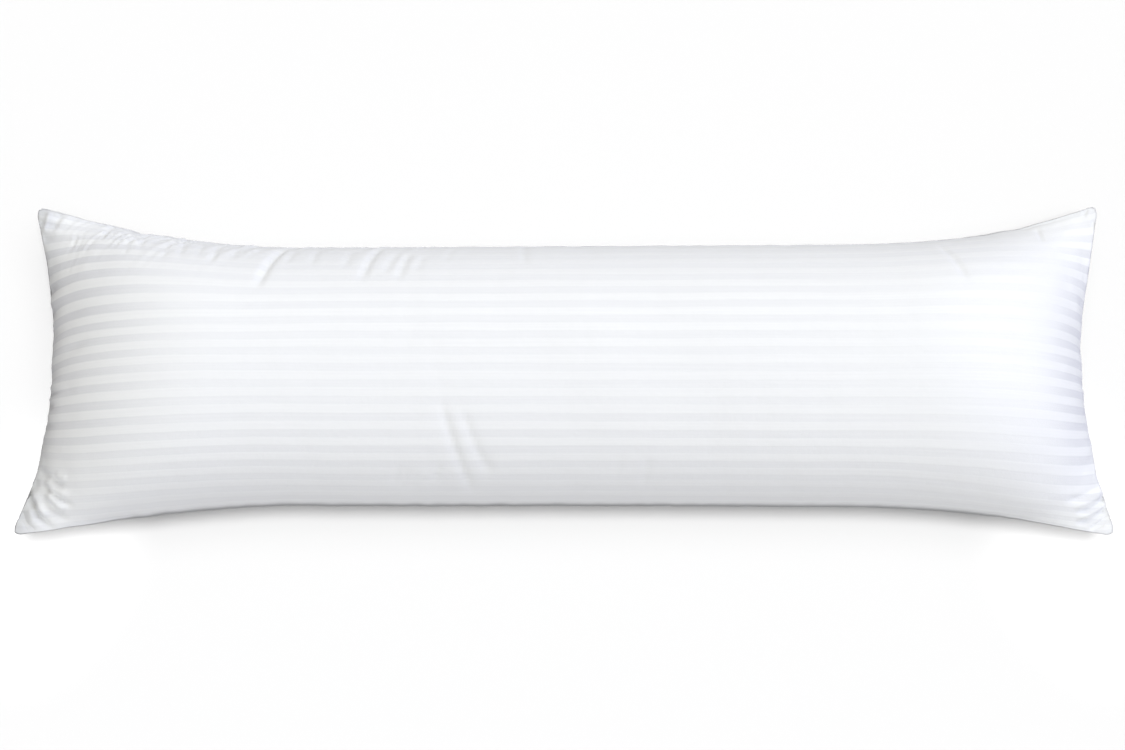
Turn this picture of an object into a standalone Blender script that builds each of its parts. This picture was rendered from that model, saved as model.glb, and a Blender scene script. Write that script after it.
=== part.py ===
"""A full-length body pillow lying on its back, built as one filled solid.

Two equal rectangular panels are sewn together round all four edges and overfilled with fibre.
The filling crowns both panels, draws the long sides and the ends in between the four corners,
and leaves each corner standing out as a folded ear. The cloth that the seams gather puckers
beside them, and the floor presses the underside flat.

Metres, +Z up, +X along the pillow. The origin is on the floor under the middle of the pillow.
"""

import math
from typing import NamedTuple

import bmesh
import bpy
import numpy as np

# The sewn panels, seam to seam: 54 x 18 inch cloth less half an inch of seam allowance all round.
PANEL_LENGTH = 1.346
PANEL_WIDTH = 0.432

# The filled pillow.
WAIST = 0.3255  # seam to seam across the middle
WAIST_TAPER = 0.012  # how much wider that gets for each metre towards +X
END_WAIST = {-1: 0.629, 1: 0.640}  # reach of each end where it is drawn in most, by side
END_WAIST_SHARE = 0.18  # and how far that place is off the middle of the end, towards +Y
SEAM_HEIGHT = 0.092  # of the seam above the floor, along the sides
CROWN = 0.112  # of the upper panel above the seam
UNDER_DEPTH = 0.126  # the lower panel would hang this far below its seam with no floor under it
FLOOR_BLEND = 0.016  # height over which the underside rounds off its flat patch
FLOOR_CLEAR = 0.001  # what would come closer to the floor than this lies on it

# How the panels leave their seams.
SIDE_EDGE_ANGLE = math.radians(12)  # part of the round that the seam cuts off, along the sides
END_EDGE_ANGLE = math.radians(20)  # and along the ends
SQUARENESS = 2.3  # exponent of the rounds, where 2 is an ellipse
END_ROUND = 0.215  # distance over which an end rises to the full crown
FLARE_START = 0.285  # where the sides start to flare out, from the middle of the pillow


class Corner(NamedTuple):
    """One corner of the seam: the side of X and Y that it is on, and its place."""

    side_x: int
    side_y: int
    reach_x: float
    reach_y: float
    height: float
    side_power: float  # how late the long side flares out to it
    side_turn: float  # how much the long side straightens again there
    end_power: float  # how late the end flares out to it


CORNERS = (
    Corner(-1, -1, 0.6745, 0.200, 0.088, 2.25, 1.2, 2.7),
    Corner(1, -1, 0.6765, 0.201, 0.088, 3.7, 2.2, 2.4),
    Corner(-1, 1, 0.6565, 0.2145, 0.096, 2.8, 1.1, 1.9),
    Corner(1, 1, 0.667, 0.218, 0.096, 3.4, 0.5, 1.35),
)
CORNER_RADIUS = 0.014  # of the turned-out tip of a corner
MIDDLE = (-0.0016, -0.0070)  # of the waist, which leaves the origin under the middle of the whole
EAR_REACH = 0.075  # distance from a corner over which the ear stays thin
EAR_THINNING = 0.45  # share of the fill that the very corner lacks

# Folds that cross an ear, both panels together, counted from its tip.
EAR_FOLD_PITCH = 0.020
EAR_FOLD_HEIGHT = 0.0030
EAR_FOLDS_END = 0.090

# Puckers beside the seams: how far apart, how high, and how far in from the seam they are highest.
END_PUCKER_PITCH = 0.030
END_PUCKER_HEIGHT = 0.0030
SIDE_PUCKER_PITCH = 0.036
SIDE_PUCKER_HEIGHT = 0.0018
PUCKER_REACH = 0.020
PUCKER_SHIFT = 0.4  # along the wave from one seam or panel to the next, so that none match
PITCH_WANDER = 1.3  # radians by which the puckers fall early or late
HEIGHT_WANDER = 0.4  # share of their height that comes and goes

# Soft lumps of the filling under the upper panel.
LUMP_LENGTH = 0.230
LUMP_SLANT = 0.4
LUMP_HEIGHT = 0.0007


class Crease(NamedTuple):
    """A crease that the filling leaves in the upper panel, placed on the cloth in metres."""

    along: float
    across: float
    degrees: float  # from the pillow's length
    length: float
    width: float
    height: float


CREASES = (
    Crease(-0.357, 0.160, 77, 0.075, 0.011, 0.0030),
    Crease(-0.236, 0.160, 60, 0.050, 0.010, 0.0022),
    Crease(-0.205, 0.172, 60, 0.042, 0.010, 0.0020),
    Crease(-0.448, 0.180, 62, 0.040, 0.010, 0.0020),
    Crease(0.472, 0.138, -75, 0.060, 0.010, 0.0014),
    Crease(-0.127, -0.125, -72, 0.090, 0.011, 0.0026),
    Crease(-0.105, -0.107, -70, 0.060, 0.010, 0.0018),
)

# The grid each panel is cut into: steps along and across, and how strongly they crowd to the seams.
STEPS_ALONG = 100
STEPS_ACROSS = 28
CROWDING_ALONG = 0.55
CROWDING_ACROSS = 0.60

COTTON_WHITE = (0.86, 0.87, 0.90, 1.0)
COTTON_ROUGHNESS = 0.62


def start_empty():
    """Removes what the startup file holds."""
    for leftover in list(bpy.data.objects):
        bpy.data.objects.remove(leftover)


def crowd(share, amount):
    """Moves a share from -1 to 1 towards its ends, so that the grid is finest at the seams."""
    return (1 - amount) * share + amount * math.sin(share * math.pi / 2)


def round_profile(edge_angle, reach, rise):
    """A quarter round from a seam up to the crown, cut off at edge_angle.

    Returns, at even steps of its own length, the distance in from the seam and the height
    over the seam, each as a share of its whole, and then that length.
    """
    angle = np.linspace(edge_angle, math.pi / 2, 600)
    across = np.cos(angle) ** (2 / SQUARENESS)
    height = np.sin(angle) ** (2 / SQUARENESS)
    inward = 1 - across / across[0]
    upward = (height - height[0]) / (1 - height[0])
    lengths = np.hypot(np.diff(inward) * reach, np.diff(upward) * rise)
    along = np.concatenate([[0], np.cumsum(lengths)])
    even = np.linspace(0, along[-1], 200)
    return np.interp(even, along, inward), np.interp(even, along, upward), along[-1]


def read(profile, share):
    """The profile's value at a share of its length."""
    return float(np.interp(share, np.linspace(0, 1, len(profile)), profile))


SIDE_IN, SIDE_UP, _ = round_profile(SIDE_EDGE_ANGLE, WAIST / 2, CROWN)
END_IN, END_UP, END_LENGTH = round_profile(END_EDGE_ANGLE, END_ROUND, CROWN)


def end_place(cloth_share):
    """Where a point of the panel's middle line lies, by its share from middle (0) to end (1).

    Returns its reach as a share of the half length, and its height as a share of the crown.
    """
    half_cloth = PANEL_LENGTH / 2
    half_reach = sum(END_WAIST.values()) / 2
    from_end = (1 - cloth_share) * half_cloth
    if from_end < END_LENGTH:
        share = from_end / END_LENGTH
        return 1 - read(END_IN, share) * END_ROUND / half_reach, read(END_UP, share)
    middle = 1 - END_ROUND / half_reach
    return middle * cloth_share / (1 - END_LENGTH / half_cloth), 1.0


def corner_at(side_x, side_y):
    """The corner on the given sides of X and Y."""
    return next(row for row in CORNERS if (row.side_x, row.side_y) == (side_x, side_y))


def end_reach(side, share_y):
    """How far an end of the seam reaches, drawn in between its two corners."""
    toward = 1 if share_y > END_WAIST_SHARE else -1
    corner = corner_at(side, toward)
    from_waist = abs(share_y - END_WAIST_SHARE) / (1 - toward * END_WAIST_SHARE)
    return END_WAIST[side] + (corner.reach_x - END_WAIST[side]) * from_waist**corner.end_power


def seam_place(share_x, share_y):
    """The pillow's plan: a point by its shares of the half length and half width, in metres."""
    side_x = 1 if share_x > 0 else -1
    side_y = 1 if share_y > 0 else -1
    corner = corner_at(side_x, side_y)
    reach_x = end_reach(side_x, share_y)
    x = share_x * reach_x
    late = max(0.0, (abs(x) - FLARE_START) / (reach_x - FLARE_START))
    flare = late**corner.side_power * (1 + corner.side_turn * (1 - late))
    waist = (WAIST + WAIST_TAPER * x) / 2
    y = share_y * (waist + (corner.reach_y - waist) * flare)
    end_height = (corner.height + corner_at(side_x, -side_y).height) / 2
    end_height += (corner.height - end_height) * abs(share_y)
    return x, y, SEAM_HEIGHT + (end_height - SEAM_HEIGHT) * flare


def round_corner(share_x, share_y):
    """Pulls the shares of a point near a corner in, so that the seam rounds the corner."""
    size_x, size_y = CORNER_RADIUS / END_WAIST[1], CORNER_RADIUS / (WAIST / 2)
    out_x = (abs(share_x) - 1) / size_x + 1
    out_y = (abs(share_y) - 1) / size_y + 1
    if out_x <= 0 or out_y <= 0:
        return share_x, share_y
    pull = max(out_x, out_y) / math.hypot(out_x, out_y)
    return (
        math.copysign(1 + (out_x * pull - 1) * size_x, share_x),
        math.copysign(1 + (out_y * pull - 1) * size_y, share_y),
    )


def corner_distance(x, y):
    """How far a place is from the nearest corner, and that corner's number."""
    away = [
        math.hypot(x - corner.side_x * corner.reach_x, y - corner.side_y * corner.reach_y)
        for corner in CORNERS
    ]
    return min(away), away.index(min(away))


def floor_under(height):
    """Presses a height flat onto the floor, rounding off over FLOOR_BLEND."""
    if height >= FLOOR_BLEND:
        return height
    rounded = max(0.0, height + FLOOR_BLEND) ** 2 / (4 * FLOOR_BLEND)
    return rounded if rounded > FLOOR_CLEAR else 0.0


def panel_point(along, across, face):
    """Where a point of a panel lies, by its shares from -1 to 1 of the cloth.

    The face is 1 for the upper panel and -1 for the lower one.
    """
    reach, end_rise = end_place(abs(along))
    side_rise = read(SIDE_UP, 1 - abs(across))
    filled_across = 1 - read(SIDE_IN, 1 - abs(across))
    share_x = math.copysign(abs(along) + (reach - abs(along)) * side_rise, along)
    share_y = math.copysign(abs(across) + (filled_across - abs(across)) * end_rise, across)
    x, y, seam = seam_place(*round_corner(share_x, share_y))
    thinning = EAR_THINNING * math.exp(-((corner_distance(x, y)[0] / EAR_REACH) ** 2))
    rise = end_rise * side_rise * (1 - thinning)
    seam += ear_fold(x, y)
    if face > 0:
        return x, y, seam + CROWN * rise
    return x, y, floor_under(seam - UNDER_DEPTH * rise)


def uneven_wave(position, pitch):
    """A wave of height 1 and about this pitch, whose pitch and height wander in slower waves."""
    turn = 2 * math.pi * position / pitch
    wander = PITCH_WANDER * math.sin(turn / 3.1)
    strength = 1 - HEIGHT_WANDER + HEIGHT_WANDER * math.sin(turn / 4.7)
    return strength * math.sin(turn + wander)


def ear_fold(x, y):
    """How far a fold that crosses an ear lifts the place it passes."""
    away, number = corner_distance(x, y)
    if away > EAR_FOLDS_END:
        return 0.0
    fade = math.sin(math.pi * away / EAR_FOLDS_END) ** 2
    return EAR_FOLD_HEIGHT * fade * math.sin(2 * math.pi * away / EAR_FOLD_PITCH + number)


def pucker(position, from_seam, pitch, height):
    """How far the puckers beside one seam stand up, at a position along it."""
    near = from_seam / PUCKER_REACH
    return height * uneven_wave(position, pitch) * near * math.exp(1 - near)


def crease_height(crease, along, across):
    """How far one crease lifts the cloth: a soft trough with a raised bank beside it."""
    turn = math.radians(crease.degrees)
    off_along, off_across = along - crease.along, across - crease.across
    from_middle = off_along * math.cos(turn) + off_across * math.sin(turn)
    from_line = (off_across * math.cos(turn) - off_along * math.sin(turn)) / crease.width
    fade = math.exp(-((2 * from_middle / crease.length) ** 2))
    return crease.height * fade * from_line * math.exp(0.5 - from_line**2)


def lump(along, across):
    """Height of the filling's soft lumps, which die out towards the seams."""
    inner = math.cos(math.pi * along / PANEL_LENGTH) * math.cos(math.pi * across / PANEL_WIDTH)
    return LUMP_HEIGHT * inner * uneven_wave(along + LUMP_SLANT * across, LUMP_LENGTH)


def relief(along, across, face):
    """How far the cloth stands proud of the smooth crown, at a place on the cloth in metres."""
    from_end = PANEL_LENGTH / 2 - abs(along)
    from_side = PANEL_WIDTH / 2 - abs(across)
    shift = PUCKER_SHIFT * (2 + face)
    on_end = across + math.copysign(shift, along)
    on_side = along + math.copysign(shift, across)
    height = pucker(on_end, from_end, END_PUCKER_PITCH, END_PUCKER_HEIGHT)
    height += pucker(on_side, from_side, SIDE_PUCKER_PITCH, SIDE_PUCKER_HEIGHT)
    if face > 0:
        height += lump(along, across)
        height += sum(crease_height(crease, along, across) for crease in CREASES)
    return height


def make_panel(mesh, face):
    """Cuts one panel as a grid, lays it in its filled shape and works its folds into it."""
    grid = bmesh.ops.create_grid(
        mesh, x_segments=STEPS_ALONG, y_segments=STEPS_ACROSS, size=1.0
    )
    vertices = grid["verts"]
    faces = list({polygon for vertex in vertices for polygon in vertex.link_faces})
    cloth = {}
    for vertex in vertices:
        along = crowd(vertex.co.x, CROWDING_ALONG)
        across = crowd(vertex.co.y, CROWDING_ACROSS)
        cloth[vertex] = along, across
        vertex.co = panel_point(along, across, face)
    if face < 0:
        bmesh.ops.reverse_faces(mesh, faces=faces)
    mesh.normal_update()
    for vertex, (along, across) in cloth.items():
        if vertex.is_boundary or vertex.co.z < FLOOR_BLEND:
            continue
        proud = relief(along * PANEL_LENGTH / 2, across * PANEL_WIDTH / 2, face)
        vertex.co += vertex.normal * proud


def make_pillow(material):
    """Sews the two panels together round their edges into one closed, filled solid."""
    shape = bmesh.new()
    make_panel(shape, face=1)
    make_panel(shape, face=-1)
    bmesh.ops.remove_doubles(shape, verts=shape.verts, dist=1e-5)
    bmesh.ops.translate(shape, verts=shape.verts, vec=(*MIDDLE, 0))
    mesh = bpy.data.meshes.new("body_pillow")
    shape.to_mesh(mesh)
    shape.free()
    mesh.materials.append(material)
    mesh.shade_smooth()
    return bpy.data.objects.new("body_pillow", mesh)


def striped_cotton():
    """The white sateen of the cover."""
    material = bpy.data.materials.new("white_sateen")
    material.use_nodes = True
    shader = material.node_tree.nodes["Principled BSDF"]
    shader.inputs["Base Color"].default_value = COTTON_WHITE
    shader.inputs["Roughness"].default_value = COTTON_ROUGHNESS
    shader.inputs["Metallic"].default_value = 0.0
    return material


def main():
    start_empty()
    collection = bpy.data.collections.new("body_pillow")
    bpy.context.scene.collection.children.link(collection)
    collection.objects.link(make_pillow(striped_cotton()))


main()
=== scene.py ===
import math
from typing import NamedTuple

import bmesh
import bpy
import numpy as np
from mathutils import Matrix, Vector


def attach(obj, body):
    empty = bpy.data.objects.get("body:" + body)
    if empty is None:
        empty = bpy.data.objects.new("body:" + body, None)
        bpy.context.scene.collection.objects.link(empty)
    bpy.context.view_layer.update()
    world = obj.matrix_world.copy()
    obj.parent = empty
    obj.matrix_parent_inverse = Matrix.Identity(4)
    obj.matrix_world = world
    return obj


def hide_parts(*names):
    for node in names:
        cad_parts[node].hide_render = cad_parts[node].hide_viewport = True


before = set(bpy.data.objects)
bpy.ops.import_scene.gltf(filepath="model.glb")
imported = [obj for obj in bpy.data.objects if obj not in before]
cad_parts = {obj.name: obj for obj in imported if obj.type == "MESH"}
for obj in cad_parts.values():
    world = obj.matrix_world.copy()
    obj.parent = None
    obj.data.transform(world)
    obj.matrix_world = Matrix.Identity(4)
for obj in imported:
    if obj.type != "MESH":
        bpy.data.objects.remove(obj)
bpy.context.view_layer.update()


# Cover: two equal rectangles of striped cotton, sewn together round all four edges and turned
# right side out. Each is cut here as a grid, laid over the shape that the filling gives it, and
# keeps its place on the flat cloth, in metres, as its UV map.
PANEL_LENGTH = 1.346  # seam to seam, as cut
PANEL_WIDTH = 0.432
WAIST = 0.3255  # seam to seam across the middle of the filled pillow
WAIST_TAPER = 0.012  # how much wider that gets for each metre towards +X
END_WAIST = {-1: 0.629, 1: 0.640}  # reach of each end where it is drawn in most, by side
END_WAIST_SHARE = 0.18  # and how far that place is off the middle of the end, towards +Y
SEAM_HEIGHT = 0.092  # of the seam above the floor, along the sides
CROWN = 0.112  # of the upper panel above the seam
UNDER_DEPTH = 0.126  # the lower panel would hang this far below its seam with no floor under it
FLOOR_BLEND = 0.016  # height over which the underside rounds off its flat patch
FLOOR_CLEAR = 0.001  # what would come closer to the floor than this lies on it
SIDE_EDGE_ANGLE = math.radians(12)  # part of the round that the seam cuts off, along the sides
END_EDGE_ANGLE = math.radians(20)  # and along the ends
SQUARENESS = 2.3  # exponent of the rounds, where 2 is an ellipse
END_ROUND = 0.215  # distance over which an end rises to the full crown
FLARE_START = 0.285  # where the sides start to flare out, from the middle of the pillow
CORNER_RADIUS = 0.014  # of the turned-out tip of a corner
MIDDLE = (-0.0016, -0.0070)  # of the waist, which leaves the origin under the middle of the whole
EAR_REACH = 0.075  # distance from a corner over which the ear stays thin
EAR_THINNING = 0.45  # share of the fill that the very corner lacks
STEPS_ALONG, STEPS_ACROSS = 196, 60
CROWDING_ALONG, CROWDING_ACROSS = 0.45, 0.55  # how strongly the steps crowd to the seams
SEWING_DISTANCE = 1e-5  # points of the two panels that are closer than this are one


class Corner(NamedTuple):
    """One corner of the seam: the side of X and Y that it is on, and its place."""

    side_x: int
    side_y: int
    reach_x: float
    reach_y: float
    height: float
    side_power: float  # how late the long side flares out to it
    side_turn: float  # how much the long side straightens again there
    end_power: float  # how late the end flares out to it


CORNERS = (
    Corner(-1, -1, 0.6745, 0.2000, 0.088, 2.25, 1.2, 2.70),
    Corner(1, -1, 0.6765, 0.2010, 0.088, 3.70, 2.2, 2.40),
    Corner(-1, 1, 0.6565, 0.2145, 0.096, 2.80, 1.1, 1.90),
    Corner(1, 1, 0.6670, 0.2180, 0.096, 3.40, 0.5, 1.35),
)


def crowd(share, amount):
    """Moves a share from -1 to 1 towards its ends, so that the grid is finest at the seams."""
    return (1 - amount) * share + amount * math.sin(share * math.pi / 2)


def round_profile(edge_angle, reach, rise):
    """A quarter round from a seam up to the crown, cut off at edge_angle.

    Returns, at even steps of its own length, the distance in from the seam and the height
    over the seam, each as a share of its whole, and then that length.
    """
    angle = np.linspace(edge_angle, math.pi / 2, 600)
    across = np.cos(angle) ** (2 / SQUARENESS)
    height = np.sin(angle) ** (2 / SQUARENESS)
    inward = 1 - across / across[0]
    upward = (height - height[0]) / (1 - height[0])
    lengths = np.hypot(np.diff(inward) * reach, np.diff(upward) * rise)
    along = np.concatenate([[0], np.cumsum(lengths)])
    even = np.linspace(0, along[-1], 200)
    return np.interp(even, along, inward), np.interp(even, along, upward), along[-1]


def read(profile, share):
    """The profile's value at a share of its length."""
    return float(np.interp(share, np.linspace(0, 1, len(profile)), profile))


SIDE_IN, SIDE_UP, _ = round_profile(SIDE_EDGE_ANGLE, WAIST / 2, CROWN)
END_IN, END_UP, END_LENGTH = round_profile(END_EDGE_ANGLE, END_ROUND, CROWN)


def end_place(cloth_share):
    """Reach and rise, as shares, of a point of the panel's middle line."""
    half_cloth = PANEL_LENGTH / 2
    half_reach = sum(END_WAIST.values()) / 2
    from_end = (1 - cloth_share) * half_cloth
    if from_end < END_LENGTH:
        share = from_end / END_LENGTH
        return 1 - read(END_IN, share) * END_ROUND / half_reach, read(END_UP, share)
    middle = 1 - END_ROUND / half_reach
    return middle * cloth_share / (1 - END_LENGTH / half_cloth), 1.0


def corner_at(side_x, side_y):
    """The corner on the given sides of X and Y."""
    return next(row for row in CORNERS if (row.side_x, row.side_y) == (side_x, side_y))


def end_reach(side, share_y):
    """How far an end of the seam reaches, drawn in between its two corners."""
    toward = 1 if share_y > END_WAIST_SHARE else -1
    corner = corner_at(side, toward)
    from_waist = abs(share_y - END_WAIST_SHARE) / (1 - toward * END_WAIST_SHARE)
    return END_WAIST[side] + (corner.reach_x - END_WAIST[side]) * from_waist**corner.end_power


def seam_place(share_x, share_y):
    """The pillow's plan: a point by its shares of the half length and half width, in metres."""
    side_x = 1 if share_x > 0 else -1
    side_y = 1 if share_y > 0 else -1
    corner = corner_at(side_x, side_y)
    reach_x = end_reach(side_x, share_y)
    x = share_x * reach_x
    late = max(0.0, (abs(x) - FLARE_START) / (reach_x - FLARE_START))
    flare = late**corner.side_power * (1 + corner.side_turn * (1 - late))
    waist = (WAIST + WAIST_TAPER * x) / 2
    y = share_y * (waist + (corner.reach_y - waist) * flare)
    end_height = (corner.height + corner_at(side_x, -side_y).height) / 2
    end_height += (corner.height - end_height) * abs(share_y)
    return x, y, SEAM_HEIGHT + (end_height - SEAM_HEIGHT) * flare


def round_corner(share_x, share_y):
    """Pulls the shares of a point near a corner in, so that the seam rounds the corner."""
    size_x, size_y = CORNER_RADIUS / END_WAIST[1], CORNER_RADIUS / (WAIST / 2)
    out_x = (abs(share_x) - 1) / size_x + 1
    out_y = (abs(share_y) - 1) / size_y + 1
    if out_x <= 0 or out_y <= 0:
        return share_x, share_y
    pull = max(out_x, out_y) / math.hypot(out_x, out_y)
    return (
        math.copysign(1 + (out_x * pull - 1) * size_x, share_x),
        math.copysign(1 + (out_y * pull - 1) * size_y, share_y),
    )


def nearest_corner(x, y):
    """How far a place is from the nearest corner."""
    return min(
        math.hypot(x - corner.side_x * corner.reach_x, y - corner.side_y * corner.reach_y)
        for corner in CORNERS
    )


def floor_under(height):
    """Presses a height flat onto the floor, rounding off over FLOOR_BLEND."""
    if height >= FLOOR_BLEND:
        return height
    rounded = max(0.0, height + FLOOR_BLEND) ** 2 / (4 * FLOOR_BLEND)
    return rounded if rounded > FLOOR_CLEAR else 0.0


def filled_place(along, across, face):
    """Where a point of a panel lies, by its shares from -1 to 1 of the cloth.

    The face is 1 for the upper panel and -1 for the lower one.
    """
    reach, end_rise = end_place(abs(along))
    side_rise = read(SIDE_UP, 1 - abs(across))
    filled_across = 1 - read(SIDE_IN, 1 - abs(across))
    share_x = math.copysign(abs(along) + (reach - abs(along)) * side_rise, along)
    share_y = math.copysign(abs(across) + (filled_across - abs(across)) * end_rise, across)
    x, y, seam = seam_place(*round_corner(share_x, share_y))
    thinning = EAR_THINNING * math.exp(-((nearest_corner(x, y) / EAR_REACH) ** 2))
    rise = end_rise * side_rise * (1 - thinning)
    if face > 0:
        return x, y, seam + CROWN * rise
    return x, y, floor_under(seam - UNDER_DEPTH * rise)


def hump(value, middle, width):
    """A soft hump of height 1."""
    return np.exp(-(((value - middle) / width) ** 2))


def ease(share):
    """A soft step from 0 to 1."""
    share = np.clip(share, 0.0, 1.0)
    return share * share * (3 - 2 * share)


def stripe_drift(along, across):
    """How far the gathers at the ends push the stripes across the pillow."""
    left, right = ease((-along - 0.25) / 0.32), ease((along - 0.33) / 0.26)
    drift = 0.004 * (1 - left) * (1 - right) * (1 - (2 * across / PANEL_WIDTH) ** 4)
    drift += left * (0.012 * hump(across, 0.055, 0.050) - 0.007 * hump(across, -0.150, 0.045))
    drift += right * (0.005 * hump(across, 0.06, 0.06) + 0.012 * hump(across, -0.165, 0.04))
    return drift


def lay_panel(shape, face, cloth_layers, uv_layer):
    """Cuts one panel as a grid and lays it in its filled shape."""
    grid = bmesh.ops.create_grid(
        shape, x_segments=STEPS_ALONG, y_segments=STEPS_ACROSS, size=1.0
    )
    vertices = grid["verts"]
    faces = list({polygon for vertex in vertices for polygon in vertex.link_faces})
    along_layer, across_layer, face_layer, seam_layer = cloth_layers
    for vertex in vertices:
        along = crowd(vertex.co.x, CROWDING_ALONG)
        across = crowd(vertex.co.y, CROWDING_ACROSS)
        vertex.co = filled_place(along, across, face)
        vertex[along_layer] = along * PANEL_LENGTH / 2
        vertex[across_layer] = across * PANEL_WIDTH / 2
        vertex[seam_layer] = min(
            (1 - abs(along)) * PANEL_LENGTH / 2, (1 - abs(across)) * PANEL_WIDTH / 2
        )
        vertex[face_layer] = face
    for polygon in faces:
        for corner in polygon.loops:
            along, across = corner.vert[along_layer], corner.vert[across_layer]
            corner[uv_layer].uv = along, across + stripe_drift(along, across)
    if face < 0:
        bmesh.ops.reverse_faces(shape, faces=faces)


shape = bmesh.new()
cloth_layers = [
    shape.verts.layers.float.new(name) for name in ("along", "across", "face", "from_seam")
]
uv_layer = shape.loops.layers.uv.new("cloth")
lay_panel(shape, 1, cloth_layers, uv_layer)
lay_panel(shape, -1, cloth_layers, uv_layer)
bmesh.ops.remove_doubles(shape, verts=shape.verts, dist=SEWING_DISTANCE)
bmesh.ops.translate(shape, verts=shape.verts, vec=(*MIDDLE, 0))
cover = bpy.data.meshes.new("pillow_cover")
shape.to_mesh(cover)
pillow = bpy.data.objects.new("pillow_cover", cover)
bpy.context.collection.objects.link(pillow)
cloth_place = np.array([[vertex[layer] for layer in cloth_layers] for vertex in shape.verts])
shape.free()


# Filling: loose polyester fibre, packed in until the cloth stands up in a crown and is tight.
# It is blown up here as a pressure in the sewn cover, with a little more cloth near the seams
# than the seams can take, so that the cloth buckles there. Only those folds are kept.
PRESSURE = 4.0
STIFFNESS = 15.0
BENDING = 0.02
CLOTH_MASS = 0.3
SPARE_CLOTH = 0.05  # share by which the loose cloth beside the seams is larger
SPARE_REACH = (0.006, 0.028, 0.030)  # where that starts, is most, and how far it spreads
FRAMES = 12
SWELLING_ROUNDS = 60  # of blurring, which leave the swelling and take out the folds
FOLD_LIMIT = 0.010

count = len(cover.vertices)
laid = np.empty(count * 3)
cover.vertices.foreach_get("co", laid)
laid = laid.reshape(-1, 3)


def blow_up():
    """Returns how far each point of the cover moves under the filling's pressure."""
    tight = pillow.vertex_groups.new(name="tight")
    start, middle, width = SPARE_REACH
    for index, distance in enumerate(cloth_place[:, 3]):
        loose = hump(distance, middle, width) if distance > start else 0.0
        tight.add([index], 1 - loose, "REPLACE")
    cloth = pillow.modifiers.new("filling", "CLOTH")
    cloth.settings.quality = 5
    cloth.settings.mass = CLOTH_MASS
    cloth.settings.tension_stiffness = cloth.settings.compression_stiffness = STIFFNESS
    cloth.settings.shear_stiffness = STIFFNESS / 3
    cloth.settings.bending_stiffness = BENDING
    cloth.settings.use_pressure = True
    cloth.settings.uniform_pressure_force = PRESSURE
    cloth.settings.vertex_group_shrink = "tight"
    cloth.settings.shrink_min = -SPARE_CLOTH
    cloth.settings.shrink_max = 0.0
    cloth.settings.effector_weights.gravity = 0
    cloth.collision_settings.use_collision = False
    cloth.collision_settings.use_self_collision = False
    cloth.point_cache.frame_start, cloth.point_cache.frame_end = 1, FRAMES
    for frame_number in range(1, FRAMES + 1):
        bpy.context.scene.frame_set(frame_number)
    blown = pillow.evaluated_get(bpy.context.evaluated_depsgraph_get()).to_mesh()
    moved = np.array([vertex.co for vertex in blown.vertices]) - laid
    pillow.modifiers.remove(cloth)
    pillow.vertex_groups.remove(tight)
    bpy.context.scene.frame_set(1)
    return moved


def even_out(values, rounds):
    """Blurs a value per point over the cover, nearer neighbours counting for more."""
    ends = np.array([edge.vertices for edge in cover.edges])
    lengths = np.linalg.norm(laid[ends[:, 0]] - laid[ends[:, 1]], axis=1)
    weights = 1 / np.maximum(lengths, 0.002)
    pairs = np.concatenate([ends, ends[:, ::-1]])
    weights = np.concatenate([weights, weights])
    total = np.bincount(pairs[:, 0], weights, minlength=count)
    for _ in range(rounds):
        near = [
            np.bincount(pairs[:, 0], values[pairs[:, 1], axis] * weights, minlength=count)
            for axis in range(3)
        ]
        values = 0.5 * values + 0.5 * np.stack(near, axis=1) / total[:, None]
    return values


def fold_share(along, across):
    """How much of the buckling stays: little on the tight crown, most beside the ends."""
    end = 0.45 * np.exp(-(PANEL_LENGTH / 2 - np.abs(along)) / 0.030)
    side = 0.12 * np.exp(-(PANEL_WIDTH / 2 - np.abs(across)) / 0.022)
    loose = 0.18 * hump(along, -0.50, 0.16) * np.exp(-(PANEL_WIDTH / 2 - across) / 0.030)
    from_corner = np.hypot(PANEL_LENGTH / 2 - np.abs(along), PANEL_WIDTH / 2 - np.abs(across))
    return (0.07 + end + side + loose) * (1 - 0.7 * np.exp(-((from_corner / 0.080) ** 2)))


moved = blow_up()
folds = moved - even_out(moved, SWELLING_ROUNDS)
size = np.linalg.norm(folds, axis=1)
folds *= np.minimum(1, FOLD_LIMIT / np.maximum(size, 1e-9))[:, None]
folds *= fold_share(cloth_place[:, 0], cloth_place[:, 1])[:, None]
cover.vertices.foreach_set("co", (laid + folds).astype(np.float32).ravel())
finer = pillow.modifiers.new("finer", "SUBSURF")
finer.levels = finer.render_levels = 1
depsgraph = bpy.context.evaluated_depsgraph_get()
cover = bpy.data.meshes.new_from_object(
    pillow.evaluated_get(depsgraph), preserve_all_data_layers=True, depsgraph=depsgraph
)
pillow.modifiers.remove(finer)
pillow.data = cover
cover.name = "pillow_cover"


# Creases and gathers: what sewing and packing leave in the cotton. The seams gather short
# puckers, single creases run in from them where the filling lies unevenly, and a field of small
# crumples lies beside the far seam. They are worked into the cover here by lifting its points.
class Crease(NamedTuple):
    """A crease in the upper panel, between two places on the cloth, in metres."""

    start_along: float
    start_across: float
    stop_along: float
    stop_across: float
    width: float
    depth: float  # negative for a ridge


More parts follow.
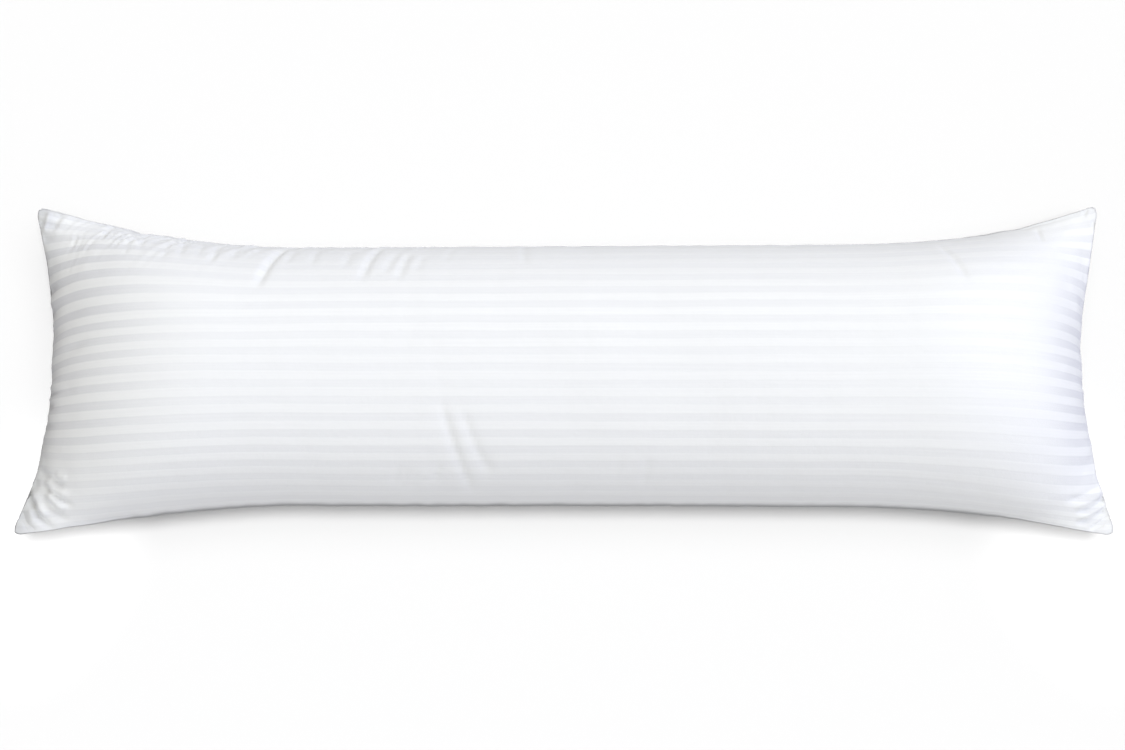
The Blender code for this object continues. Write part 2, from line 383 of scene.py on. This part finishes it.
CREASES = (
    # across the near left ear, from its tip inwards
    Crease(-0.676, -0.182, -0.645, -0.211, 0.0035, 0.0045),
    Crease(-0.673, -0.156, -0.624, -0.207, 0.0040, 0.0059),
    Crease(-0.647, -0.158, -0.606, -0.195, 0.0050, 0.0048),
    Crease(-0.646, -0.146, -0.598, -0.171, 0.0036, 0.0048),
    Crease(-0.666, -0.124, -0.610, -0.146, 0.0060, 0.0055),
    Crease(-0.649, -0.168, -0.631, -0.189, 0.0060, -0.0031),
    Crease(-0.633, -0.154, -0.606, -0.177, 0.0055, -0.0045),
    Crease(-0.642, -0.139, -0.604, -0.156, 0.0055, -0.0038),
    Crease(-0.624, -0.131, -0.606, -0.136, 0.0050, -0.0021),
    Crease(-0.658, -0.180, -0.646, -0.198, 0.0050, -0.0024),
    # across the near right ear
    Crease(0.666, -0.149, 0.613, -0.165, 0.0045, 0.0030),
    Crease(0.672, -0.165, 0.628, -0.183, 0.0036, 0.0052),
    Crease(0.669, -0.177, 0.627, -0.201, 0.0036, 0.0052),
    Crease(0.670, -0.188, 0.642, -0.208, 0.0032, 0.0047),
    Crease(0.666, -0.157, 0.624, -0.174, 0.0045, -0.0030),
    Crease(0.667, -0.172, 0.627, -0.192, 0.0045, -0.0035),
    # across the far left ear
    Crease(-0.652, 0.210, -0.664, 0.184, 0.0036, -0.0031),
    Crease(-0.636, 0.213, -0.651, 0.185, 0.0040, 0.0023),
    # across the far right ear
    Crease(0.655, 0.216, 0.654, 0.204, 0.0030, 0.0016),
    Crease(0.667, 0.194, 0.672, 0.180, 0.0030, 0.0016),
    # beside the far seam, from left to right
    Crease(-0.570, 0.212, -0.574, 0.164, 0.0032, 0.0018),
    Crease(-0.534, 0.167, -0.537, 0.138, 0.0032, 0.0012),
    Crease(-0.520, 0.189, -0.519, 0.149, 0.0034, 0.0018),
    Crease(-0.485, 0.171, -0.486, 0.134, 0.0034, 0.0015),
    Crease(-0.470, 0.205, -0.465, 0.141, 0.0036, 0.0023),
    Crease(-0.446, 0.190, -0.443, 0.145, 0.0032, 0.0014),
    Crease(-0.423, 0.187, -0.426, 0.132, 0.0038, 0.0027),
    Crease(-0.401, 0.186, -0.401, 0.143, 0.0032, 0.0014),
    Crease(-0.345, 0.177, -0.365, 0.099, 0.0048, 0.0052),
    Crease(-0.329, 0.177, -0.334, 0.139, 0.0034, 0.0016),
    Crease(-0.302, 0.177, -0.304, 0.135, 0.0038, 0.0016),
    Crease(-0.259, 0.171, -0.263, 0.131, 0.0038, 0.0016),
    Crease(-0.227, 0.177, -0.241, 0.109, 0.0044, 0.0036),
    Crease(-0.203, 0.160, -0.214, 0.117, 0.0040, 0.0019),
    Crease(-0.188, 0.156, -0.197, 0.107, 0.0042, 0.0025),
    Crease(-0.169, 0.152, -0.176, 0.120, 0.0036, 0.0012),
    Crease(-0.136, 0.178, -0.141, 0.141, 0.0034, 0.0010),
    Crease(-0.048, 0.192, -0.046, 0.133, 0.0036, 0.0015),
    Crease(0.456, 0.162, 0.476, 0.101, 0.0036, 0.0023),
    Crease(0.588, 0.198, 0.588, 0.167, 0.0030, 0.0018),
    # in the middle, towards the near seam
    Crease(-0.141, -0.066, -0.108, -0.172, 0.0048, 0.0025),
    Crease(-0.117, -0.070, -0.090, -0.143, 0.0048, 0.0019),
    Crease(-0.090, -0.122, -0.084, -0.146, 0.0040, 0.0009),
    Crease(-0.194, -0.135, -0.199, -0.166, 0.0040, 0.0009),
    Crease(-0.184, -0.140, -0.188, -0.171, 0.0040, 0.0008),
    Crease(-0.173, -0.144, -0.178, -0.171, 0.0040, 0.0008),
    Crease(-0.145, -0.134, -0.150, -0.159, 0.0040, 0.0009),
    Crease(0.100, -0.127, 0.094, -0.167, 0.0045, 0.0010),
    Crease(0.067, -0.121, 0.063, -0.148, 0.0050, 0.0006),
    # in from the left end
    Crease(-0.657, 0.008, -0.588, 0.023, 0.0060, 0.0018),
    Crease(-0.664, 0.054, -0.598, 0.059, 0.0060, 0.0013),
    Crease(-0.666, -0.028, -0.606, -0.026, 0.0045, 0.0013),
    Crease(-0.667, -0.071, -0.598, -0.062, 0.0050, 0.0014),
    Crease(-0.673, 0.105, -0.621, 0.099, 0.0045, 0.0011),
)


class Gather(NamedTuple):
    """A stretch of a seam with puckers beside it. Both panels have them."""

    end: int  # -1 or 1 for an end, 0 for a long side
    side: int  # -1 or 1 for a long side, 0 for an end
    start: float
    stop: float
    pitch: float
    height: float
    reach: float  # how far in from the seam they are highest
    slant: float


GATHERS = (
    Gather(-1, 0, -0.23, 0.23, 0.024, 0.0022, 0.012, 0.1),
    Gather(-1, 0, -0.20, 0.20, 0.009, 0.0006, 0.006, 0.0),
    Gather(1, 0, -0.23, 0.23, 0.026, 0.0010, 0.012, 0.0),
    Gather(1, 0, -0.20, 0.20, 0.008, 0.0003, 0.005, 0.0),
    Gather(0, 1, -0.66, -0.34, 0.019, 0.0010, 0.022, 0.5),
    Gather(0, 1, -0.64, -0.42, 0.0125, 0.0011, 0.018, 0.6),
    Gather(0, 1, -0.42, -0.12, 0.016, 0.0009, 0.014, 0.4),
    Gather(0, 1, -0.12, 0.66, 0.034, 0.0003, 0.010, -0.3),
    Gather(0, -1, -0.66, 0.66, 0.037, 0.0003, 0.010, -0.3),
)


def uneven_wave(position, pitch):
    """A wave of height 1 and about this pitch, whose pitch and height wander in slower waves."""
    turn = 2 * math.pi * position / pitch
    wander = 1.3 * np.sin(turn / 3.1) + 0.7 * np.sin(turn / 7.3)
    return (0.6 + 0.4 * np.sin(turn / 4.7)) * np.sin(turn + wander)


def gathered(gather, along, across, face):
    """How far the puckers of one stretch of seam stand up."""
    if gather.end:
        position, inward = across, PANEL_LENGTH / 2 - gather.end * along
    else:
        position, inward = along, PANEL_WIDTH / 2 - gather.side * across
    inside = ease((position - gather.start) / 0.05) * ease((gather.stop - position) / 0.05)
    near = inward / gather.reach
    wave = uneven_wave(position + gather.slant * inward + 0.4 * face, gather.pitch)
    return gather.height * inside * wave * near * np.exp(1 - near)


def creased(crease, along, across):
    """How far one crease lifts the cloth."""
    run_along = crease.stop_along - crease.start_along
    run_across = crease.stop_across - crease.start_across
    length = math.hypot(run_along, run_across)
    off_along, off_across = along - crease.start_along, across - crease.start_across
    share = (off_along * run_along + off_across * run_across) / length**2
    aside = (off_across * run_along - off_along * run_across) / length
    fade = ease((share + 0.20) / 0.40) * ease((1.20 - share) / 0.40)
    return -crease.depth * fade * hump(aside, 0.0, crease.width)


def read_cover(source, name, size):
    """One number, or one row of numbers, for each point of the cover."""
    values = np.empty(len(cover.vertices) * size)
    source.foreach_get(name, values)
    return values if size == 1 else values.reshape(-1, size)


def lumps(along, across):
    """Soft lumps of the filling under the upper panel."""
    inner = np.cos(math.pi * along / PANEL_LENGTH) * np.cos(math.pi * across / PANEL_WIDTH)
    return 0.0006 * inner * uneven_wave(along + 0.4 * across, 0.230)


def crumples(along, across):
    """Small crumples of the upper panel: many beside the far seam, a few in the middle."""
    crumple = uneven_wave(along + 0.5 * across, 0.017) * uneven_wave(across - 0.3 * along, 0.0135)
    far = ease((along + 0.65) / 0.06) * ease((-0.30 - along) / 0.16)
    far = far * hump(across, PANEL_WIDTH / 2 - 0.038, 0.027)
    middle = hump(along, -0.160, 0.050) * hump(across, -0.150, 0.020)
    return (0.0032 * far + 0.0007 * middle) * crumple


def ditch(along, across, from_seam):
    """The line that a taut seam sinks beside itself, which fades out before the ears."""
    end = np.where((along > 0) & (across > 0), 0.67, 0.60)
    return -0.0018 * hump(from_seam, 0.0065, 0.0035) * ease((end - np.abs(along)) / 0.12)


def proud(along, across, face, from_seam):
    """How far all the creases and gathers lift each place on the cloth."""
    both = sum(gathered(gather, along, across, face) for gather in GATHERS)
    both = both + ditch(along, across, from_seam)
    upper = sum(creased(crease, along, across) for crease in CREASES)
    upper = upper + lumps(along, across) + crumples(along, across)
    return both + np.where(face > 0, upper, 0.0)


place_names = ("along", "across", "face", "from_seam")
place_on_cloth = [read_cover(cover.attributes[name].data, "value", 1) for name in place_names]
laid = read_cover(cover.vertices, "co", 3)
outward = read_cover(cover.vertices, "normal", 3)
off_floor = ease((laid[:, 2] - 0.004) / 0.020)
laid += outward * (proud(*place_on_cloth) * off_floor)[:, None]
# the near seam is slack, and hangs a little further out, left of the middle
laid[:, 1] -= 0.0022 * (hump(place_on_cloth[0], -0.22, 0.19) * ease(-place_on_cloth[1] / 0.20))
laid[:, 2] = np.maximum(laid[:, 2], 0)
cover.vertices.foreach_set("co", laid.astype(np.float32).ravel())
for name in place_names[:3]:
    cover.attributes.remove(cover.attributes[name])
cover.update()
cover.shade_smooth()


# Striped cotton: one white cloth, woven as 1 cm bands of satin between 1 cm bands of plain
# weave. The satin's long floats are smoother and glossier, so the bands show as the light
# slides over the curves. Towards both ends the colour also carries painted sheen: the plain
# bands are painted darker there, where the light would bring out the satin's gloss.
STRIPE_REPEAT = 0.020
SATIN = (0.868, 0.880, 0.902, 1.0)
PLAIN_LOSS = (1.0, 1.0, 0.85)  # how the shade of the plain bands takes red, green and blue


def link(tree, kind, inputs, **settings):
    """Adds a node, feeds its inputs by number or name from sockets or values, and returns it."""
    node = tree.nodes.new(kind)
    for name, value in settings.items():
        setattr(node, name, value)
    for name, value in inputs.items():
        if isinstance(value, bpy.types.NodeSocket):
            tree.links.new(value, node.inputs[name])
        else:
            node.inputs[name].default_value = value
    return node


def calculate(tree, operation, first, second=0.0, third=0.0):
    """A Math node's result."""
    inputs = {0: first, 1: second, 2: third}
    return link(tree, "ShaderNodeMath", inputs, operation=operation).outputs[0]


def spread(tree, value, low, high, to_low, to_high):
    """A value from low to high, spread softly over to_low to to_high."""
    inputs = {"Value": value, "From Min": low, "From Max": high, "To Min": to_low, "To Max": to_high}
    settings = {"interpolation_type": "SMOOTHSTEP"}
    return link(tree, "ShaderNodeMapRange", inputs, **settings).outputs["Result"]


def wave_of(tree, value, pitch):
    """A cosine of this pitch, which is 1 where the value is 0."""
    return calculate(tree, "COSINE", calculate(tree, "MULTIPLY", value, 2 * math.pi / pitch))


cotton = bpy.data.materials.new("striped_cotton")
cotton.use_nodes = True
tree = cotton.node_tree
shader = tree.nodes["Principled BSDF"]
place = link(tree, "ShaderNodeUVMap", {}, uv_map="cloth").outputs["UV"]
parts = link(tree, "ShaderNodeSeparateXYZ", {0: place})
u, v = parts.outputs["X"], parts.outputs["Y"]

# The bands, which wander a little with the threads.
wobble_place = link(tree, "ShaderNodeMapping", {"Vector": place, "Scale": (9, 30, 1)})
wobble = link(
    tree, "ShaderNodeTexNoise", {"Vector": wobble_place.outputs[0], "Scale": 1.0, "Detail": 2.0}
)
shift = calculate(tree, "MULTIPLY", calculate(tree, "SUBTRACT", wobble.outputs["Fac"], 0.5), 0.0025)
stripe = wave_of(tree, calculate(tree, "ADD", v, shift), STRIPE_REPEAT)
satin = spread(tree, stripe, -0.25, 0.25, 0.0, 1.0)

slub_place = link(tree, "ShaderNodeMapping", {"Vector": place, "Scale": (5, 420, 1)})
slubs = link(
    tree, "ShaderNodeTexNoise", {"Vector": slub_place.outputs[0], "Scale": 1.0, "Detail": 3.0}
)
thread = spread(tree, slubs.outputs["Fac"], 0.25, 0.75, 0.975, 1.0)

# How much darker the plain bands are. Its growth towards both ends is painted sheen: the
# contrast that the satin's gloss shows where the cloth curves down is painted into the colour.
left_end_sheen = calculate(
    tree,
    "MULTIPLY",
    spread(tree, u, -0.673, -0.625, 0.75, 1.0),
    spread(tree, u, -0.610, -0.440, 0.084, 0.0),
)
left_end_sheen = calculate(tree, "MULTIPLY", left_end_sheen, spread(tree, v, -0.130, -0.075, 0.15, 1.0))
left_end_sheen = calculate(tree, "MULTIPLY", left_end_sheen, spread(tree, v, 0.020, 0.080, 1.0, 1.5))
inset = calculate(tree, "SUBTRACT", u, spread(tree, v, 0.0, 0.16, 0.0, 0.045))
right_end_sheen = spread(tree, inset, 0.555, 0.640, 0.0, 0.145)
right_end_sheen = calculate(tree, "MULTIPLY", right_end_sheen, spread(tree, v, -0.110, -0.040, 0.65, 1.0))
at_side = spread(tree, calculate(tree, "ABSOLUTE", v), 0.140, 0.185, 1.0, 0.25)
# painted sheen at both ends, weaker beside the long sides
ends = calculate(tree, "MULTIPLY", calculate(tree, "ADD", left_end_sheen, right_end_sheen), at_side)
far_right = spread(tree, v, 0.09, 0.15, 0.004, spread(tree, u, 0.50, 0.60, 0.050, 0.015))
face_loss = spread(tree, u, 0.20, 0.50, 0.037, spread(tree, v, -0.10, 0.02, 0.022, far_right))
loss = calculate(
    tree,
    "MULTIPLY",
    calculate(tree, "ADD", ends, face_loss),
    calculate(tree, "SUBTRACT", 1.0, satin),
)
loss = calculate(tree, "ADD", loss, calculate(tree, "SUBTRACT", 1.0, thread))

# Painted shade: the cloth is painted darker in the dip beside the seam, where shade falls,
# least at the right and far sides.
from_seam = link(tree, "ShaderNodeAttribute", {}, attribute_name="from_seam").outputs["Fac"]
narrower = spread(tree, calculate(tree, "ABSOLUTE", u), 0.50, 0.62, 1.0, 2.4)
from_seam = calculate(tree, "MULTIPLY", from_seam, narrower)
paler = calculate(
    tree,
    "MAXIMUM",
    spread(tree, u, 0.60, 0.66, 0.0, 0.78),
    spread(tree, v, 0.08, 0.16, 0.0, spread(tree, u, 0.36, 0.44, 0.80, 0.55)),
)
painted_seam_shade = calculate(
    tree, "MAXIMUM", spread(tree, from_seam, 0.0015, 0.0085, 0.42, 1.0), paler
)
# painted shade at the left end, the side turned away from the light
painted_seam_shade = calculate(
    tree, "MULTIPLY", painted_seam_shade, spread(tree, u, -0.673, -0.622, 0.74, 1.0)
)

bands = link(tree, "ShaderNodeCombineXYZ", {})
for axis, (white, share) in enumerate(zip(SATIN, PLAIN_LOSS)):
    shade = calculate(tree, "MULTIPLY_ADD", loss, -share * white, white)
    tree.links.new(calculate(tree, "MULTIPLY", shade, painted_seam_shade), bands.inputs[axis])
tree.links.new(bands.outputs[0], shader.inputs["Base Color"])
tree.links.new(spread(tree, satin, 0, 1, 0.75, 0.45), shader.inputs["Roughness"])

# The relief: threads, fine crinkles over both bands, and the satin's floats standing proud.
WARP_PITCH, WEFT_PITCH = 0.00042, 0.00050
warp = wave_of(tree, v, WARP_PITCH)
weft = wave_of(tree, u, WEFT_PITCH)
plain_weave = calculate(tree, "MULTIPLY", warp, weft)
satin_weave = calculate(tree, "MULTIPLY", warp, 0.5)
weave = link(
    tree, "ShaderNodeMix", {0: satin, 2: plain_weave, 3: satin_weave}, data_type="FLOAT"
).outputs[0]
crinkle = link(
    tree, "ShaderNodeTexNoise", {"Vector": place, "Scale": 90.0, "Detail": 4.0, "Roughness": 0.6}
).outputs["Fac"]
weave_bump = link(
    tree, "ShaderNodeBump", {"Height": weave, "Strength": 0.25, "Distance": 0.00006}
)
crinkle_bump = link(
    tree,
    "ShaderNodeBump",
    {
        "Height": crinkle,
        "Strength": 0.35,
        "Distance": 0.0010,
        "Normal": weave_bump.outputs[0],
    },
)
stripe_bump = link(
    tree,
    "ShaderNodeBump",
    {"Height": satin, "Strength": 0.5, "Distance": 0.00025, "Normal": crinkle_bump.outputs[0]},
)
tree.links.new(stripe_bump.outputs[0], shader.inputs["Normal"])
shader.inputs["IOR"].default_value = 1.5
shader.inputs["Sheen Weight"].default_value = 0.10
shader.inputs["Sheen Roughness"].default_value = 0.4
cover.materials.append(cotton)

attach(pillow, "root")
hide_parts("body_pillow")


# Studio: a plain white floor with pale walls all round. Two lamps hang overhead for the floor
# alone, and a small one fills the shade under each near ear. Five broad ones are for the pillow
# alone, the strongest from behind on the right and from the front, the weakest on the left.
floor_shape = bmesh.new()
bmesh.ops.create_grid(floor_shape, x_segments=1, y_segments=1, size=30.0)
floor_mesh = bpy.data.meshes.new("floor")
floor_shape.to_mesh(floor_mesh)
floor_shape.free()
floor = bpy.data.objects.new("floor", floor_mesh)
bpy.context.collection.objects.link(floor)
paint = bpy.data.materials.new("floor_paint")
paint.use_nodes = True
floor_finish = paint.node_tree.nodes["Principled BSDF"].inputs
floor_finish["Base Color"].default_value = (0.20, 0.20, 0.20, 1)
floor_finish["Roughness"].default_value = 1.0
floor_finish["Specular IOR Level"].default_value = 0.0
floor_finish["Emission Color"].default_value = (1.0, 1.0, 1.0, 1)
floor_finish["Emission Strength"].default_value = 0.12
floor_mesh.materials.append(paint)
floor.visible_diffuse = floor.visible_glossy = False

scene = bpy.context.scene
scene.view_settings.view_transform = "Standard"
scene.world = bpy.data.worlds.new("walls")
scene.world.use_nodes = True
walls = scene.world.node_tree.nodes["Background"]
walls.inputs["Color"].default_value = (0.975, 0.95, 0.98, 1)
walls.inputs["Strength"].default_value = 0.390

lit_by = {}
for receiver in (floor, pillow):
    lit_by[receiver] = bpy.data.collections.new(f"lights_{receiver.name}")
    lit_by[receiver].objects.link(receiver)


def add_lamp(name, receiver, toward, energy, degrees, colour=(1.0, 1.0, 1.0)):
    """A distant soft lamp, seen at an angle of some degrees, that lights one object."""
    lamp = bpy.data.objects.new(name, bpy.data.lights.new(name, "SUN"))
    lamp.data.energy = energy
    lamp.data.angle = math.radians(degrees)
    lamp.data.color = colour
    lamp.rotation_euler = Vector(toward).to_track_quat("Z", "Y").to_euler()
    lamp.light_linking.receiver_collection = lit_by[receiver]
    bpy.context.collection.objects.link(lamp)


add_lamp("lamp_floor", floor, (0.04, -0.10, 0.99), 9.9, 18)
add_lamp("lamp_floor_broad", floor, (0.15, 0.05, 0.97), 2.7, 50)
add_lamp("lamp_right_back", pillow, (0.8, 0.8, 0.9), 1.69, 60, (0.855, 0.91, 1.0))
add_lamp("lamp_right", pillow, (1.0, 0.0, 0.35), 0.29, 60, (0.42, 0.40, 1.0))
add_lamp("lamp_front", pillow, (0.0, -1.0, 0.9), 1.21, 60, (0.98, 1.0, 0.935))
add_lamp("lamp_back", pillow, (0.0, 1.0, 0.9), 0.61, 60, (1.0, 0.93, 0.62))
add_lamp("lamp_left", pillow, (-1.0, 0.0, 0.9), 0.18, 60, (1.0, 0.98, 0.88))

FILL_DISTANCE = 1.0
FILL_REACH = 0.125  # radius of the soft patch that a fill lamp lights on the floor
FILL_ENERGY = 92
for side, name in ((-1, "lamp_ear_left"), (1, "lamp_ear_right")):
    toward = Vector((0.3 * side, -1.0, 0.8)).normalized()
    fill = bpy.data.objects.new(name, bpy.data.lights.new(name, "SPOT"))
    fill.data.energy = FILL_ENERGY
    fill.data.spot_size = 2 * math.atan(FILL_REACH / FILL_DISTANCE)
    fill.data.spot_blend = 1.0
    fill.data.shadow_soft_size = 0.03
    fill.location = Vector((0.645 * side, -0.215, 0)) + toward * FILL_DISTANCE
    fill.rotation_euler = toward.to_track_quat("Z", "Y").to_euler()
    fill.light_linking.receiver_collection = lit_by[floor]
    bpy.context.collection.objects.link(fill)

CAMERA_ELEVATION = math.radians(78)
CAMERA_DISTANCE = 4.0
CAMERA_LENS = 104.26
camera = bpy.data.objects.new("camera", bpy.data.cameras.new("camera"))
camera.data.sensor_width = 36
camera.data.lens = CAMERA_LENS
back = Vector((0, -math.cos(CAMERA_ELEVATION), math.sin(CAMERA_ELEVATION)))
camera.location = Vector((*MIDDLE, SEAM_HEIGHT)) + back * CAMERA_DISTANCE
camera.rotation_euler = (-back).to_track_quat("-Z", "Y").to_euler()
scene.collection.objects.link(camera)
scene.camera = camera
